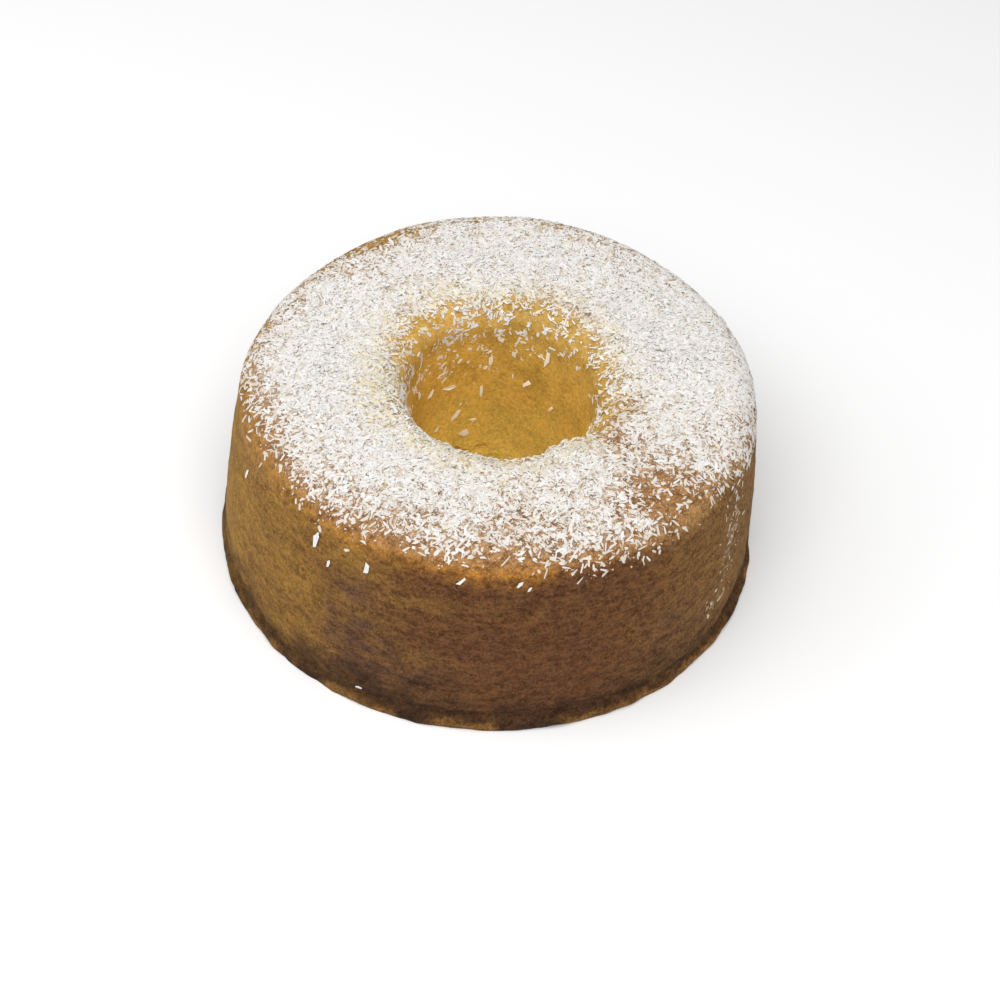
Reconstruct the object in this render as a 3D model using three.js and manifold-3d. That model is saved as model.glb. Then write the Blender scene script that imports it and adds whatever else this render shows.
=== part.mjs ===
// A coconut ring cake: one sponge turned out of a tapered tube tin, with coconut flakes stuck to its top.
// Sizes are in millimetres, +Z is up, and the origin is the middle of the flat base.

import * as THREE from "three";
import { mergeVertices } from "three/addons/utils/BufferGeometryUtils.js";
import Module from "manifold-3d";

// Sponge: heights are above the base, and radii are from the middle of the hole
const HEIGHT = 83.5;
const BASE_RADIUS = 109.8;
const FOOT_RADIUS = 108.4;
const FOOT_ROWS = [2.5, 5, 7.5, 10, 14];
const SHOULDER_RADIUS = 102.3;
const SHOULDER_SLOPE = 0.14; // radians in from upright
const SHOULDER_REACH = 32;
const RIM_ROUND = 12.5;
const TOP_CROWN = 0.8;
const LIP_WIDTH = 13;
const LIP_DEPTH = 12;
const THROAT_RADIUS = 38.2;
const HOLE_WAIST_RADIUS = 35;
const HOLE_WAIST_HEIGHT = 36;
const HOLE_BASE_RADIUS = 33;
const LEAN = 2;

// Ragged lip round the foot: it juts out under a shallow crease, more at one angle than on the far side
const JUT = 1.4;
const JUT_HEIGHT = 2.5;
const JUT_SPREAD = 2.8;
const CREASE = 1.2;
const CREASE_HEIGHT = 7.5;
const CREASE_SPREAD = 2.4;
const STRONGEST_ANGLE = -0.7;
const LIP_STRENGTH = { least: 0.35, most: 0.9 };
const LIP_WAVES = [
  { height: 0.2, crests: 5, start: 1.1 },
  { height: 0.18, crests: 9, start: 3.3 },
  { height: 0.15, crests: 14, start: 0.4 },
];

// Unevenness of the baked crust: each wave's height, number of crests round the ring and start angle
const SIDE_WAVES = [
  { height: 0.6, crests: 2, start: 3.9 },
  { height: 0.5, crests: 3, start: 2.1 },
  { height: 0.35, crests: 5, start: 4.0 },
];
const HOLE_WAVES = [
  { height: 1.6, crests: 1, start: 1.1 },
  { height: 0.8, crests: 2, start: 1.9 },
  { height: 0.5, crests: 3, start: 0.3 },
  { height: 0.3, crests: 7, start: 2.6 },
];
const TOP_WAVES = [
  { height: 0.5, crests: 2, start: 2.8 },
  { height: 0.35, crests: 3, start: 1.0 },
  { height: 0.25, crests: 6, start: 5.2 },
];

// Coconut: the largest flakes, laid flat or a little tilted and half sunk in the crust
const FLAKE_COUNT = 250;
const FLAKE_LENGTH = { least: 3.2, most: 6.0 };
const FLAKE_WIDTH = { least: 1.1, most: 2.0 };
const FLAKE_THICKNESS = 1.2;
const FLAKE_RISE = 0.3; // of a flake's middle above the crust
const FLAKE_TAPER = 0.55; // width of the narrow end beside that of the wide one
const FLAKE_TILT = 0.4; // radians, at most, either way
const STEEPEST_DRESSED = 0.35; // upward part of the crust's normal where flakes begin to hold
const FULLY_DRESSED = 0.8;
const STRAY_SHARE = 0.025; // flakes stuck to walls too steep to hold a layer
const LOWEST_STRAY = 30; // height of the lowest flake on a wall

// Spread of the flakes round the ring, and the seeded draw of their sizes and turns
const GOLDEN_ANGLE = Math.PI * (3 - Math.sqrt(5));
const FLAKE_SEED = 20;
const DRAW_FACTOR = 1664525;
const DRAW_STEP = 1013904223;
const DRAW_RANGE = 2 ** 32;

// Fineness of the faceted solid, and of the section where flakes are spread along it
const ROUND_SEGMENTS = 72;
const PROFILE_STEPS = 3;
const FINE_PROFILE_STEPS = 24;
const MERGE_DISTANCE = 1e-4;

// Look of the crust
const CRUST_COLOUR = 0x9a6b39;
const CRUST_ROUGHNESS = 0.75;

// The closed section of the ring, drawn anticlockwise from the inner edge of the base.
function ringSection() {
  const shoulder = HEIGHT - RIM_ROUND;
  const throat = HEIGHT - LIP_DEPTH;
  const rimStart = SHOULDER_RADIUS - RIM_ROUND;
  const lipStart = THROAT_RADIUS + LIP_WIDTH;
  const section = new THREE.Path();
  section.moveTo(HOLE_BASE_RADIUS, 0);
  section.lineTo(BASE_RADIUS, 0);
  const footTop = FOOT_ROWS.at(-1);
  for (const row of FOOT_ROWS) {
    section.lineTo(THREE.MathUtils.lerp(BASE_RADIUS, FOOT_RADIUS, row / footTop), row);
  }
  const rimFoot = new THREE.Vector2(RIM_ROUND, 0).rotateAround(new THREE.Vector2(), SHOULDER_SLOPE);
  rimFoot.add(new THREE.Vector2(rimStart, shoulder));
  const belly = new THREE.Vector2(0, -SHOULDER_REACH).rotateAround(new THREE.Vector2(), SHOULDER_SLOPE);
  belly.add(rimFoot);
  section.quadraticCurveTo(belly.x, belly.y, rimFoot.x, rimFoot.y);
  section.absarc(rimStart, shoulder, RIM_ROUND, SHOULDER_SLOPE, Math.PI / 2, false);
  section.quadraticCurveTo((rimStart + lipStart) / 2, HEIGHT + 2 * TOP_CROWN, lipStart, HEIGHT);
  section.absellipse(lipStart, throat, LIP_WIDTH, LIP_DEPTH, Math.PI / 2, Math.PI, false, 0);
  section.quadraticCurveTo(HOLE_WAIST_RADIUS, HOLE_WAIST_HEIGHT, HOLE_BASE_RADIUS, 0);
  return section;
}

function sumOfWaves(waves, angle) {
  return waves.reduce((sum, wave) => sum + wave.height * Math.cos(wave.crests * angle + wave.start), 0);
}

function hump(distance, spread) {
  return Math.exp(-((distance / spread) ** 2));
}

// How far the ragged lip and its crease move the side in or out.
function footLip(angle, height) {
  const facing = (1 + Math.cos(angle - STRONGEST_ANGLE)) / 2;
  const even = THREE.MathUtils.lerp(LIP_STRENGTH.least, LIP_STRENGTH.most, facing);
  const strength = even + sumOfWaves(LIP_WAVES, angle);
  const jut = JUT * hump(height - JUT_HEIGHT, JUT_SPREAD);
  const crease = CREASE * hump(height - CREASE_HEIGHT, CREASE_SPREAD);
  return strength * (jut - crease);
}

// Moves a point of the true ring to where the uneven, slightly leaning sponge has it. The base stays flat.
function settle(point) {
  const angle = Math.atan2(point.y, point.x);
  const radius = Math.hypot(point.x, point.y);
  const up = point.z / HEIGHT;
  const outward = THREE.MathUtils.smoothstep(radius, HOLE_BASE_RADIUS, SHOULDER_RADIUS);
  const side = sumOfWaves(SIDE_WAVES, angle) + footLip(angle, point.z);
  const hole = sumOfWaves(HOLE_WAVES, angle);
  const moved = radius + THREE.MathUtils.lerp(hole, side, outward);
  return point.set(
    moved * Math.cos(angle) + LEAN * up,
    moved * Math.sin(angle),
    point.z + up * up * sumOfWaves(TOP_WAVES, angle),
  );
}

// A closed three.js geometry as a solid that can be joined to others.
function solidOf(wasm, geometry) {
  const bare = geometry.clone();
  bare.deleteAttribute("normal");
  bare.deleteAttribute("uv");
  const closed = mergeVertices(bare, MERGE_DISTANCE);
  const mesh = new wasm.Mesh({
    numProp: 3,
    vertProperties: new Float32Array(closed.attributes.position.array),
    triVerts: new Uint32Array(closed.index.array),
  });
  return new wasm.Manifold(mesh);
}

function geometryOf(solid) {
  const mesh = solid.getMesh();
  const geometry = new THREE.BufferGeometry();
  geometry.setAttribute("position", new THREE.BufferAttribute(mesh.vertProperties, 3));
  geometry.setIndex(new THREE.BufferAttribute(mesh.triVerts, 1));
  geometry.computeVertexNormals();
  return geometry;
}

function spongeGeometry() {
  const geometry = new THREE.LatheGeometry(ringSection().getPoints(PROFILE_STEPS), ROUND_SEGMENTS);
  geometry.rotateX(Math.PI / 2);
  const corners = geometry.attributes.position;
  const corner = new THREE.Vector3();
  for (let i = 0; i < corners.count; i++) {
    settle(corner.fromBufferAttribute(corners, i));
    corners.setXYZ(i, corner.x, corner.y, corner.z);
  }
  return geometry;
}

// Short stretches of the section with the share of the coconut that has landed up to each one's end.
function dressedStretches() {
  const points = ringSection().getPoints(FINE_PROFILE_STEPS);
  const stretches = [];
  let landed = 0;
  for (let i = 1; i < points.length; i++) {
    const along = points[i].clone().sub(points[i - 1]);
    const middle = points[i].clone().add(points[i - 1]).multiplyScalar(0.5);
    if (middle.y < LOWEST_STRAY) continue;
    const normal = new THREE.Vector2(along.y, -along.x).normalize();
    const cover = THREE.MathUtils.smoothstep(normal.y, STEEPEST_DRESSED, FULLY_DRESSED);
    landed += middle.x * along.length() * Math.max(cover, STRAY_SHARE);
    stretches.push({ middle, normal, landed });
  }
  return stretches.map((stretch) => ({ ...stretch, landed: stretch.landed / landed }));
}

function seededDraw(seed) {
  let state = seed;
  return () => {
    state = (DRAW_FACTOR * state + DRAW_STEP) % DRAW_RANGE;
    return state / DRAW_RANGE;
  };
}

// A flat flake about its own middle, narrower at one end.
function flakeGeometry(length, width) {
  const geometry = new THREE.BoxGeometry(length, width, FLAKE_THICKNESS);
  const corners = geometry.attributes.position;
  for (let i = 0; i < corners.count; i++) {
    if (corners.getX(i) > 0) corners.setY(i, corners.getY(i) * FLAKE_TAPER);
  }
  return geometry;
}

// Flakes spread evenly by a golden-angle spiral that steps from the hole's wall over the top to the side.
function flakeGeometries() {
  const draw = seededDraw(FLAKE_SEED);
  const between = (range, share) => THREE.MathUtils.lerp(range.least, range.most, share);
  const stretches = dressedStretches();
  const flat = new THREE.Vector3(0, 0, 1);
  return Array.from({ length: FLAKE_COUNT }, (_, i) => {
    const share = (i + draw()) / FLAKE_COUNT;
    const { middle, normal } = stretches.find((stretch) => stretch.landed >= share);
    const angle = i * GOLDEN_ANGLE;
    const round = new THREE.Vector3(Math.cos(angle), Math.sin(angle), 0);
    const place = settle(round.clone().multiplyScalar(middle.x).setZ(middle.y));
    const outward = round.multiplyScalar(normal.x).setZ(normal.y);
    place.addScaledVector(outward, FLAKE_RISE);
    const turn = new THREE.Quaternion().setFromUnitVectors(flat, outward);
    const tilt = FLAKE_TILT * (2 * draw() - 1);
    const lay = new THREE.Quaternion().setFromEuler(new THREE.Euler(0, tilt, 2 * Math.PI * draw(), "ZYX"));
    const size = draw();
    const flake = flakeGeometry(between(FLAKE_LENGTH, size), between(FLAKE_WIDTH, draw()));
    return flake.applyQuaternion(turn.multiply(lay)).translate(place.x, place.y, place.z);
  });
}

// Sponge and flakes fused into one solid. A scrap that touches nothing is dropped.
function cakeGeometry(wasm) {
  const pieces = [spongeGeometry(), ...flakeGeometries()].map((piece) => solidOf(wasm, piece));
  const bodies = wasm.Manifold.union(pieces).decompose();
  bodies.sort((a, b) => b.volume() - a.volume());
  return geometryOf(bodies[0]);
}

const wasm = await Module();
wasm.setup();

const crust = new THREE.MeshStandardMaterial({
  color: CRUST_COLOUR,
  roughness: CRUST_ROUGHNESS,
  metalness: 0,
});
const cake = new THREE.Mesh(cakeGeometry(wasm), crust);
cake.name = "coconut_cake";

const group = new THREE.Group();
group.add(cake);

export default group;
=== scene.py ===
# %% [markdown]
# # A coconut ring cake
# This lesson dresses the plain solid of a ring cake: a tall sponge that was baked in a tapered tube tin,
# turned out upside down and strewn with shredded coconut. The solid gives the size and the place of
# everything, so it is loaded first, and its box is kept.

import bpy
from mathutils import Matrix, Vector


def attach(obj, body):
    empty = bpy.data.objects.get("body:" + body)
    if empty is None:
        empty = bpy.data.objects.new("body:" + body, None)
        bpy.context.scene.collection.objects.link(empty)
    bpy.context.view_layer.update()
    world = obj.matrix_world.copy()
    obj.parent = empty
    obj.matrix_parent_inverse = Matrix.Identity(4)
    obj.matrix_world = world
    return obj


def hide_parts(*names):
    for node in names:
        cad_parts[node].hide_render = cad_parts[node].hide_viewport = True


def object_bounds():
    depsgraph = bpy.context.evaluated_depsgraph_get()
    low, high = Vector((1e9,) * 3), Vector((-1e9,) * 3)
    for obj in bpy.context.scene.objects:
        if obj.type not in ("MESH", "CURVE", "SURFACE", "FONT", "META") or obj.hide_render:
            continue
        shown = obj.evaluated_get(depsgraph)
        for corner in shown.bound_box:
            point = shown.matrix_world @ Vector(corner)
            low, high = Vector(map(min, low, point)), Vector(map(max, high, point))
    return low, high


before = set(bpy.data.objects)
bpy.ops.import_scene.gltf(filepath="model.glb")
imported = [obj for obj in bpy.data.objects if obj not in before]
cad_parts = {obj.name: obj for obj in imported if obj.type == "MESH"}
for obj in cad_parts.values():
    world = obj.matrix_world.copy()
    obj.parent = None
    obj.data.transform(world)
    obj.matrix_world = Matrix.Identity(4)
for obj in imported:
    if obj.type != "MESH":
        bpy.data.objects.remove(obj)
solid_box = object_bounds()
print("solid box, m:", [[round(value, 4) for value in corner] for corner in solid_box])

# %% [markdown]
# ## The sizes of the sponge
# These are the sizes of the solid, in millimetres: heights above the base and radii from the middle of the
# hole. The fine sponge below is drawn from the same numbers, so it lies on the solid all over and needs no
# fitting. Blender works in metres, so lengths are multiplied by MM when a mesh is made.

# %% Sizes
import math

import bpy
import numpy as np
from mathutils import Matrix, Vector, noise

MM = 0.001
HEIGHT = 83.5
BASE_RADIUS = 109.8
FOOT_RADIUS = 108.4
FOOT_TOP = 14
SHOULDER_RADIUS = 102.3
SHOULDER_SLOPE = 0.14
SHOULDER_REACH = 32
RIM_ROUND = 12.5
TOP_CROWN = 0.8
LIP_WIDTH = 13
LIP_DEPTH = 12
THROAT_RADIUS = 38.2
HOLE_WAIST = (35, 36)
HOLE_BASE_RADIUS = 33
LEAN = 2
print("the sponge is", 2 * BASE_RADIUS, "mm across and", HEIGHT, "mm tall")

# %% [markdown]
# ## The section
# A ring cake is turned, like a pot: one section swept round an axis. A screw modifier or a spun curve would
# sweep it too, but the section's points as plain numbers let later steps ask where a spot on the crust is and
# which way it faces. The stretches run from the foot of the hole up its wall, over the top and down the side.
# Each has its own number of rows, more where the crust is seen close and large.

# %% Section of the ring
STRETCH_ROWS = {"hole": 50, "lip": 18, "top": 26, "rim": 18, "side": 54, "foot": 18}


def bend(start, pull, end, rows):
    """Points on a curve that leaves start towards pull and comes in to end from there."""
    t = np.linspace(0, 1, rows, endpoint=False)[:, None]
    return (1 - t) ** 2 * np.array(start) + 2 * t * (1 - t) * np.array(pull) + t**2 * np.array(end)


def round_corner(centre, radii, first, last, rows):
    """Points on a part of an ellipse, from one angle to another."""
    turn = np.linspace(first, last, rows, endpoint=False)
    return np.array(centre) + np.array(radii) * np.column_stack([np.cos(turn), np.sin(turn)])


throat = np.array([THROAT_RADIUS, HEIGHT - LIP_DEPTH])
lip_top = np.array([THROAT_RADIUS + LIP_WIDTH, HEIGHT])
lip_centre = (lip_top[0], throat[1])
rim_centre = np.array([SHOULDER_RADIUS - RIM_ROUND, HEIGHT - RIM_ROUND])
rim_top = rim_centre + (0, RIM_ROUND)
rim_foot = rim_centre + RIM_ROUND * np.array([math.cos(SHOULDER_SLOPE), math.sin(SHOULDER_SLOPE)])
belly = rim_foot + SHOULDER_REACH * np.array([math.sin(SHOULDER_SLOPE), -math.cos(SHOULDER_SLOPE)])
crown = ((lip_top[0] + rim_top[0]) / 2, HEIGHT + 2 * TOP_CROWN)
foot_top = np.array([FOOT_RADIUS, FOOT_TOP])
base_edge = np.array([BASE_RADIUS, 0])
section = np.concatenate([
    bend((HOLE_BASE_RADIUS, 0), HOLE_WAIST, throat, STRETCH_ROWS["hole"]),
    round_corner(lip_centre, (LIP_WIDTH, LIP_DEPTH), math.pi, math.pi / 2, STRETCH_ROWS["lip"]),
    bend(lip_top, crown, rim_top, STRETCH_ROWS["top"]),
    round_corner(rim_centre, RIM_ROUND, math.pi / 2, SHOULDER_SLOPE, STRETCH_ROWS["rim"]),
    bend(rim_foot, belly, foot_top, STRETCH_ROWS["side"]),
    bend(foot_top, (foot_top + base_edge) / 2, base_edge, STRETCH_ROWS["foot"]),
    [base_edge],
])
along_section = np.concatenate([[0], np.cumsum(np.linalg.norm(np.diff(section, axis=0), axis=1))])
print(len(section), "rows over", round(along_section[-1], 1), "mm of section")

# %% [markdown]
# ## Uneven, as baked
# No sponge comes out of its tin truly round. The solid has slow waves in its side, its hole and its top, a
# slight lean, and a ragged lip round the foot where the batter ran over the edge of the tin and a crease
# formed above it. The same waves are summed here over the whole grid of rows and columns at once.

# %% Sweep and settle the section
COLUMNS = 512
SIDE_WAVES = [(0.6, 2, 3.9), (0.5, 3, 2.1), (0.35, 5, 4.0)]  # each: height, crests round the ring, start
HOLE_WAVES = [(1.6, 1, 1.1), (0.8, 2, 1.9), (0.5, 3, 0.3), (0.3, 7, 2.6)]
TOP_WAVES = [(0.5, 2, 2.8), (0.35, 3, 1.0), (0.25, 6, 5.2)]
LIP_WAVES = [(0.2, 5, 1.1), (0.18, 9, 3.3), (0.15, 14, 0.4)]
LIP_STRENGTH = (0.35, 0.9)
STRONGEST_ANGLE = -0.7
JUT, JUT_HEIGHT, JUT_SPREAD = 1.4, 2.5, 2.8
CREASE, CREASE_HEIGHT, CREASE_SPREAD = 1.2, 7.5, 2.4


def ramp(value, low, high):
    """0 up to low, 1 from high on, and a smooth climb between them."""
    t = np.clip((value - low) / (high - low), 0, 1)
    return t * t * (3 - 2 * t)


def waves(table, angle):
    return sum(height * np.cos(crests * angle + start) for height, crests, start in table)


def foot_lip(angle, height):
    facing = (1 + np.cos(angle - STRONGEST_ANGLE)) / 2
    strength = LIP_STRENGTH[0] + (LIP_STRENGTH[1] - LIP_STRENGTH[0]) * facing + waves(LIP_WAVES, angle)
    jut = JUT * np.exp(-(((height - JUT_HEIGHT) / JUT_SPREAD) ** 2))
    crease = CREASE * np.exp(-(((height - CREASE_HEIGHT) / CREASE_SPREAD) ** 2))
    return strength * (jut - crease)


angle = np.linspace(-math.pi, math.pi, COLUMNS, endpoint=False)[None, :]
radius, height = section[:, :1], section[:, 1:]
outward = ramp(radius, HOLE_BASE_RADIUS, SHOULDER_RADIUS)
side_move = waves(SIDE_WAVES, angle) + foot_lip(angle, height)
hole_move = waves(HOLE_WAVES, angle)
moved = radius + hole_move + (side_move - hole_move) * outward
up = height / HEIGHT
smooth_crust = np.stack([
    moved * np.cos(angle) + LEAN * up,
    moved * np.sin(angle),
    height + up**2 * waves(TOP_WAVES, angle),
], axis=-1)
print("crust grid:", smooth_crust.shape, "top at", round(smooth_crust[..., 2].max(), 2), "mm")

# %% [markdown]
# ## Crumb in the crust
# The crust of a sponge is a skin over foam: it has soft lumps, pits where bubbles burst and, on the side,
# fine wrinkles that run round the cake because it sank a little as it cooled. Clumps of crumb and coconut
# stand up on the lip of the hole. A bump map alone would leave the edges of the cake ruled straight, so the
# larger of these are moved into the mesh, along the crust's normal, and only the finest grain is left to
# the material.

# %% Raise the relief
LUMPS = [(0.4, 19, 0.0), (0.22, 7, 5.0), (0.16, 2.8, 9.0)]  # height and size in mm, and a shift of the noise
WRINKLE, RAGGED, TORN, LIP_RAGGED, PIT = 0.2, 0.7, 1.5, 1.1, 0.6  # heights in mm
FOOT_SINKS = 0.35  # the ragged foot dips more than it juts out
BURST = (0.42, 0.75)  # noise from which a bubble begins to burst and is fully burst
SIDE_RADII, SIDE_HEIGHTS = (90, 101), (HEIGHT - 14, HEIGHT - 5)  # each zone fades between two sizes
FOOT_RADII, FOOT_HEIGHTS = (100, 106), (5, 16)
HOLE_FOOT_RADII, HOLE_FOOT_HEIGHTS = (38, 46), (5, 20)
LIP_RADII, LIP_HEIGHTS = (50, 58), (HEIGHT - 14, HEIGHT - 4)
LIP_LUMPS = [  # on the lip of the hole: angle, radius, spread and height
    (-162, 42, 2.4, 1.8), (-150, 43, 2.2, 2.2), (-141, 43, 2.6, 3.2), (-133, 43, 1.8, 1.6),
    (-122, 43, 2.0, 2.4), (-114, 43, 1.8, 1.2), (-104, 43, 2.0, 0.8), (-84, 43, 2.2, 0.8),
    (-72, 43, 1.8, 1.2), (-57, 43, 2.6, 3.0), (-50, 44, 2.2, 2.2), (-43, 44, 3.0, 1.2),
]


def normals_of(grid):
    """The outward normal at every point of a grid of rows along the section and columns round the ring."""
    down_rows = np.gradient(grid, axis=0)
    round_ring = np.roll(grid, -1, axis=1) - np.roll(grid, 1, axis=1)
    normal = np.cross(down_rows, round_ring)
    return normal / np.linalg.norm(normal, axis=-1, keepdims=True)


def crumb(points, size, shift=0.0):
    """Smooth noise from -1 to 1 with lumps of that size in mm, or of a size for each axis."""
    scaled = (points / np.array(size) + shift).reshape(-1, 3)
    return np.array([noise.noise(point) for point in scaled.tolist()]).reshape(points.shape[:-1])


smooth_normal = normals_of(smooth_crust)
on_side = ramp(radius, *SIDE_RADII) * (1 - ramp(height, *SIDE_HEIGHTS))
on_foot = ramp(radius, *FOOT_RADII) * (1 - ramp(height, *FOOT_HEIGHTS))
in_hole_foot = (1 - ramp(radius, *HOLE_FOOT_RADII)) * (1 - ramp(height, *HOLE_FOOT_HEIGHTS))
on_lip = (1 - ramp(radius, *LIP_RADII)) * ramp(height, *LIP_HEIGHTS)
relief = sum(rise * crumb(smooth_crust, size, shift) for rise, size, shift in LUMPS)
relief += WRINKLE * on_side * crumb(smooth_crust, (10, 10, 2.6), 3.0)
relief += RAGGED * on_foot * (crumb(smooth_crust, (9, 9, 4), 7.0) - FOOT_SINKS)
relief += TORN * in_hole_foot * (crumb(smooth_crust, (8, 8, 5), 14.0) + 0.5 * crumb(smooth_crust, 3, 15.0))
relief += LIP_RAGGED * on_lip * crumb(smooth_crust, 7, 17.0)
relief -= PIT * ramp(crumb(smooth_crust, 3.6, 11.0), *BURST)
for degrees, distance, spread, rise in LIP_LUMPS:
    turn = math.radians(degrees)
    middle = (distance * math.cos(turn), distance * math.sin(turn), HEIGHT - LIP_DEPTH / 3)
    relief += rise * np.exp(-(np.linalg.norm(smooth_crust - middle, axis=-1) / spread) ** 2)
crust = smooth_crust + relief[..., None] * smooth_normal
crust[0, :, 2] = crust[-1, :, 2] = 0
crust[..., 2] = np.maximum(crust[..., 2], 0)
crust_normal = normals_of(crust)
print("relief up to", round(np.abs(relief).max(), 2), "mm high or deep")


# %% Make the sponge
def grid_faces(rows, columns):
    """Quads between the rows, and a flat ring that joins the last row to the first."""
    this = np.arange(rows * columns).reshape(rows, columns)
    after = np.roll(this, -1, axis=1)
    below, below_after = np.roll(this, -1, axis=0), np.roll(after, -1, axis=0)
    return np.stack([this, below, below_after, after], axis=-1).reshape(-1, 4)


def quick_mesh(name, corners, faces):
    """A mesh object from corners in mm and rows of corner numbers, one row for each face."""
    mesh = bpy.data.meshes.new(name)
    mesh.vertices.add(len(corners))
    mesh.vertices.foreach_set("co", (np.asarray(corners) * MM).astype(np.float32).ravel())
    mesh.loops.add(faces.size)
    mesh.loops.foreach_set("vertex_index", faces.astype(np.int32).ravel())
    mesh.polygons.add(len(faces))
    mesh.polygons.foreach_set("loop_start", np.arange(0, faces.size, faces.shape[1], dtype=np.int32))
    mesh.update(calc_edges=True)
    piece = bpy.data.objects.new(name, mesh)
    bpy.context.scene.collection.objects.link(piece)
    return piece


faces = grid_faces(len(section), COLUMNS)
sponge = quick_mesh("sponge", crust.reshape(-1, 3), faces)
smooth = np.arange(len(faces)) < len(faces) - COLUMNS
sponge.data.polygons.foreach_set("use_smooth", smooth)
print("sponge:", 2 * len(faces), "triangles")

# %% [markdown]
# ## Where the coconut lies
# Coconut is strewn by hand from above: it stays where the crust is flat, thins out over the rims, and falls
# in thicker and thinner patches. Some sticks to the wall of the hole, and a little is rubbed off on the side.
# A painted weight map could say so, but short tables are easier to read and to change. They also say how far
# the moist golden band reaches over the rim and where the side is stained. Three numbers for each point of
# the crust are kept on the sponge for its material: how dusted, how moist and how stained it is.

# %% Tables of the layer, the rubs and the stains
OVER_RIM = {  # mm past the top of the rim where half the crust shows, at each angle in degrees from +X
    -180: 12, -170: 8, -160: 6.5, -150: 5, -140: 5, -130: 7, -120: 6, -110: 3, -100: 5.5, -90: 2.5, -80: 3,
    -70: 7.5, -60: 9.5, -50: 7.5, -40: 5, -30: 10, -20: 13, -10: 14, 0: 20, 10: 24, 30: 20, 50: 14, 80: 12,
    100: 9, 110: 11, 120: 3, 130: 4, 140: 7, 150: 9, 165: 12,
}
MOIST_END = {  # mm past the top of the rim where the moist golden band ends
    -180: 25, -150: 24, -130: 20, -115: 18, -107: 19, -92: 18, -82: 18, -71: 16, -58: 16, -45: 17, -30: 18,
    -10: 20, 20: 18, 90: 14, 150: 18,
}
INNER_RADIUS = {  # mm from the middle of the hole where the layer begins
    -180: 37, -160: 36, -140: 38, -120: 36, -100: 36, -90: 37, -80: 40, -65: 41, -53: 36, -41: 41, -30: 46,
    -6: 43, 10: 43, 30: 45, 50: 45, 60: 48, 71: 45, 91: 42, 111: 40, 126: 41, 139: 43, 150: 44, 160: 43,
    170: 39,
}
PATCHES = [  # angle in degrees, radius and spread in mm, and how much thicker or thinner
    (180, 66, 24, 0.5), (25, 68, 24, 0.55), (-112, 72, 24, -0.25), (90, 62, 14, 0.35), (-44, 86, 24, -0.85),
    (70, 90, 14, -0.3), (126, 93, 15, -0.3), (-5, 50, 12, -0.4), (-31, 52, 13, -0.6), (-22, 80, 22, -0.3),
    (-160, 94, 16, -0.3), (-80, 75, 23, -0.48), (-130, 92, 9, 0.7), (-53, 45, 6, 1.5), (-140, 47, 6, 0.5),
    (-118, 46, 6, 1.0), (-52, 92, 3, 1.5), (-50, 97, 3, 0.8),
]
LOWEST_STUCK = {  # mm above the base where single flakes on the wall of the hole begin
    -20: 76, 0: 60, 10: 74, 30: 74, 48: 66, 68: 57, 90: 54, 103: 50, 129: 48, 150: 52, 165: 53, 180: 56,
}
RUBS = [  # smears on the side: angle, height, spread round and up in mm, and how thick
    (-26, 58, 6.0, 14, 0.16), (-29, 40, 4.5, 14, 0.09), (-32, 24, 5.0, 5, 0.16),
]
STAINS = [  # darker patches on the side, golden ones where negative: angle, height, spreads and strength
    (-117, 46, 13, 22, 0.7), (-107, 22, 24, 15, 0.75), (-128, 14, 14, 8, 0.3), (-156, 62, 16, 14, -0.4),
    (-46, 30, 24, 18, 0.45), (-78, 62, 60, 10, -0.15),
]
print(len(PATCHES), "patches,", len(RUBS), "rubs and", len(STAINS), "stains")

# %% How much coconut each spot gets
EDGE_FADE, LIP_FADE = (-25, 9), (-16, 6)  # mm before and past the tables' edges
LEAST_STREWN = 0.1
LOOSE, CLUMPED = 0.75, 0.5  # share that lies between clumps, and what clumps add
FAR_WALL = (-0.5, 0.2)  # sine of the angle round the ring: flakes stick to the far wall of the hole
WALL_FADE = (-6, 22)  # mm below and above the table's heights
WALL_CLUMPED, WALL_LOOSE = 0.7, 0.04


def by_angle(table, a):
    """Values of a table of angles, in degrees, read round the ring."""
    return np.interp(np.degrees(a), list(table), list(table.values()), period=360)


def patchiness(x, y):
    """How thick the coconut is strewn at a place seen from above, where 1 is usual."""
    strewn = np.ones_like(x)
    for degrees, distance, spread, change in PATCHES:
        turn = math.radians(degrees)
        away = np.hypot(x - distance * math.cos(turn), y - distance * math.sin(turn))
        strewn += change * np.exp(-((away / spread) ** 2))
    return np.maximum(strewn, LEAST_STREWN)


x, y, z = np.moveaxis(crust, -1, 0)
from_axis = np.hypot(x, y)
rim_start = along_section[sum(STRETCH_ROWS[name] for name in ("hole", "lip", "top"))]
ragged = 4 * crumb(crust, 11, 1.0) + 2.5 * crumb(crust, 4, 6.0)
past_edge = along_section[:, None] - rim_start - by_angle(OVER_RIM, angle) + ragged
past_lip = by_angle(INNER_RADIUS, angle) - from_axis + ragged
strewn = (1 - ramp(past_edge, *EDGE_FADE)) * (1 - ramp(past_lip, *LIP_FADE)) * patchiness(x, y)
strewn *= LOOSE + CLUMPED * ramp(crumb(crust, 13, 2.0) + 0.8 * crumb(crust, 5, 4.0), -0.7, 0.7)
above_bare = z - by_angle(LOWEST_STUCK, angle)
stuck = ramp(np.sin(angle), *FAR_WALL) * ramp(above_bare, *WALL_FADE) * (past_lip > -10)
stuck = stuck * (WALL_CLUMPED * ramp(crumb(crust, 6, 8.0), -0.1, 0.5) + WALL_LOOSE)
print("share of the crust that is strewn:", round(float((strewn > 0.3).mean()), 2))

# %% Rubs, stains and moisture
RUB_DUST, WALL_DUST = 3, 0.2  # dust for each share of coconut, in the smears and on the wall of the hole
MOIST_FADE = (-16, 0)  # mm before the end of the moist band over which it dries


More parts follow.
